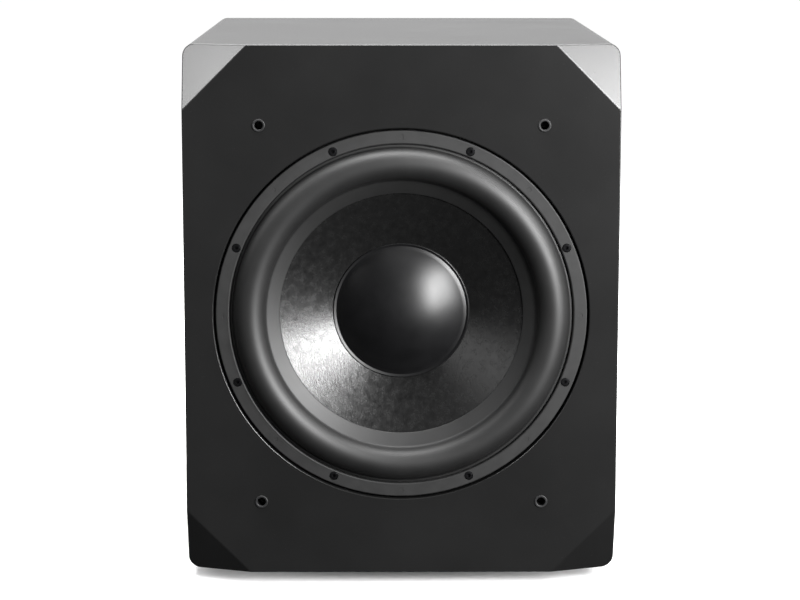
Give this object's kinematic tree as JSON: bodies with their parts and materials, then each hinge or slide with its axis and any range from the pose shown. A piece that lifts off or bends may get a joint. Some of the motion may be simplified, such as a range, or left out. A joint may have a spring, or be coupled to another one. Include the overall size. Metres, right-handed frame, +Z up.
{
  "type": "subwoofer",
  "caption": "Free-standing powered subwoofer: satin black closed box with cut front corners, one large cone driver and a rear plate amplifier.",
  "frame": {"origin": "centre of the footprint, on the floor under the feet", "axes": "+X to the right seen from the front, +Y towards the back, +Z up; the driver faces -Y"},
  "size_m": [0.362, 0.459, 0.456],
  "materials": {
    "cabinet_finish": "satin black lacquer over fibreboard",
    "fibreboard": "raw medium density fibreboard",
    "polyester_wadding": "white polyester wadding",
    "socket_rubber": "matt black",
    "brass": "plain",
    "foam_seal": "closed cell foam",
    "cast_frame": "textured black coat",
    "ring_rubber": "matt black moulded",
    "black_screws": "black oxide",
    "surround_rubber": "matt to satin black",
    "cone_fibre": "pressed fibre with a satin coat",
    "cap_gloss": "gloss black",
    "former_film": "amber film",
    "copper_winding": "enamelled copper",
    "spider_cloth": "resin treated cloth",
    "motor_steel": "zinc plated",
    "ferrite": "dark grey",
    "boot_rubber": "satin black",
    "terminal_plastic": "red",
    "tinsel_braid": "braided",
    "wire_jacket": "soft PVC",
    "amp_panel": "textured black coat",
    "sink_aluminium": "black anodised",
    "board_laminate": "green solder mask",
    "capacitor_sleeve": "shrink sleeve",
    "device_plastic": "moulded epoxy",
    "control_metal": "nickel plated",
    "knob_plastic": "soft black",
    "switch_plastic": "moulded black",
    "slider_plastic": "off white",
    "socket_gilt": "gilt",
    "line_plastic": "red",
    "light_lens": "tinted",
    "fuse_glass": "clear",
    "foot_rubber": "matt black",
    "zinc_screws": "zinc plated"
  },
  "bodies": {
    "enclosure": {"front_baffle": "cabinet_finish", "left_board": "cabinet_finish", "right_board": "cabinet_finish", "top_board": "cabinet_finish", "bottom_board": "cabinet_finish", "rear_panel": "cabinet_finish", "window_brace": "fibreboard", "wadding": "polyester_wadding", "grille_sockets": "socket_rubber", "screw_inserts": "brass", "driver_seal": "foam_seal", "driver_basket": "cast_frame", "trim_ring": "ring_rubber", "driver_screws": "black_screws", "top_plate": "motor_steel", "magnet_rings": "ferrite", "yoke": "motor_steel", "magnet_boot": "boot_rubber", "terminal_block": "terminal_plastic", "driver_wires": "wire_jacket", "amp_plate": "amp_panel", "amp_seal": "foam_seal", "amp_screws": "black_screws", "heat_sink": "sink_aluminium", "circuit_board": "board_laminate", "standoffs": "brass", "transformer": "copper_winding", "transformer_clamp": "motor_steel", "filter_capacitors": "capacitor_sleeve", "output_transistors": "device_plastic", "level_pot": "control_metal", "crossover_pot": "control_metal", "phase_switch": "control_metal", "mode_switch": "switch_plastic", "line_shells": "socket_gilt", "line_insulators": "line_plastic", "status_light": "light_lens", "rocker_housing": "switch_plastic", "mains_inlet": "switch_plastic", "inlet_pins": "control_metal", "feet": "foot_rubber", "foot_screws": "zinc_screws"},
    "cone_assembly": {"cone": "cone_fibre", "dust_cap": "cap_gloss", "surround": "surround_rubber", "coil_former": "former_film", "voice_coil": "copper_winding", "spider": "spider_cloth", "tinsel_leads": "tinsel_braid"},
    "level_control": {"level_knob": "knob_plastic", "level_shaft": "control_metal"},
    "crossover_control": {"crossover_knob": "knob_plastic", "crossover_shaft": "control_metal"},
    "phase_toggle": {"phase_lever": "control_metal"},
    "mode_slide": {"mode_slider": "slider_plastic"},
    "rocker": {"power_rocker": "switch_plastic"},
    "fuse_tray": {"fuse_drawer": "switch_plastic", "fuse": "fuse_glass"}
  },
  "joints": [
    {"name": "cone_travel", "type": "slide", "parent": "enclosure", "child": "cone_assembly", "axis": [0, -1, 0], "range_m": [-0.012, 0.012], "stiffness_N_per_m": 5000, "deforming": ["surround", "spider", "tinsel_leads"]},
    {"name": "level_turn", "type": "hinge", "parent": "enclosure", "child": "level_control", "pos_m": [0.036, 0.2125, 0.272], "axis": [0, 1, 0], "range_deg": [-150, 150]},
    {"name": "crossover_turn", "type": "hinge", "parent": "enclosure", "child": "crossover_control", "pos_m": [0.086, 0.2125, 0.272], "axis": [0, 1, 0], "range_deg": [-150, 150]},
    {"name": "phase_flip", "type": "hinge", "parent": "enclosure", "child": "phase_toggle", "pos_m": [0.036, 0.2125, 0.23], "axis": [1, 0, 0], "range_deg": [-24, 0]},
    {"name": "mode_shift", "type": "slide", "parent": "enclosure", "child": "mode_slide", "axis": [1, 0, 0], "range_m": [0, 0.004]},
    {"name": "power_rock", "type": "hinge", "parent": "enclosure", "child": "rocker", "pos_m": [0.032, 0.2125, 0.112], "axis": [1, 0, 0], "range_deg": [-16, 0]},
    {"name": "fuse_pull", "type": "slide", "parent": "enclosure", "child": "fuse_tray", "axis": [0, 1, 0], "range_m": [0, 0.016]}
  ]
}
